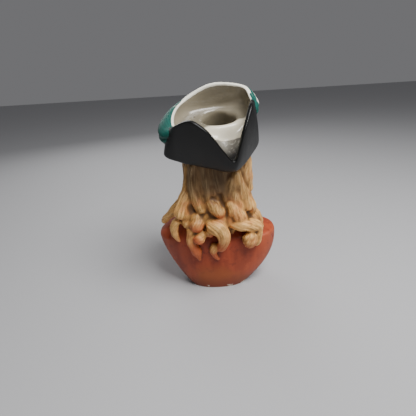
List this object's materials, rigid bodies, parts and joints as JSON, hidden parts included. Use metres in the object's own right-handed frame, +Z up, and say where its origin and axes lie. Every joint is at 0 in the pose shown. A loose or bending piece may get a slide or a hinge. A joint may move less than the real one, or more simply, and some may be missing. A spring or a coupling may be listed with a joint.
{
  "type": "head vase",
  "caption": "Hollow ceramic head vase: a coated bust with long curled hair, its three-cornered hat open on top to hold flowers or small things.",
  "frame": {"origin": "middle of the flat foot, on its underside", "axes": "+Z up, the face towards -Y with the head turned a little to +X, the hair at the back towards +Y"},
  "size_m": [0.1203, 0.0992, 0.2],
  "materials": {
    "painted_ceramic": "glazed and hand painted"
  },
  "bodies": {
    "root": {"head_vase": "painted_ceramic"}
  },
  "joints": []
}
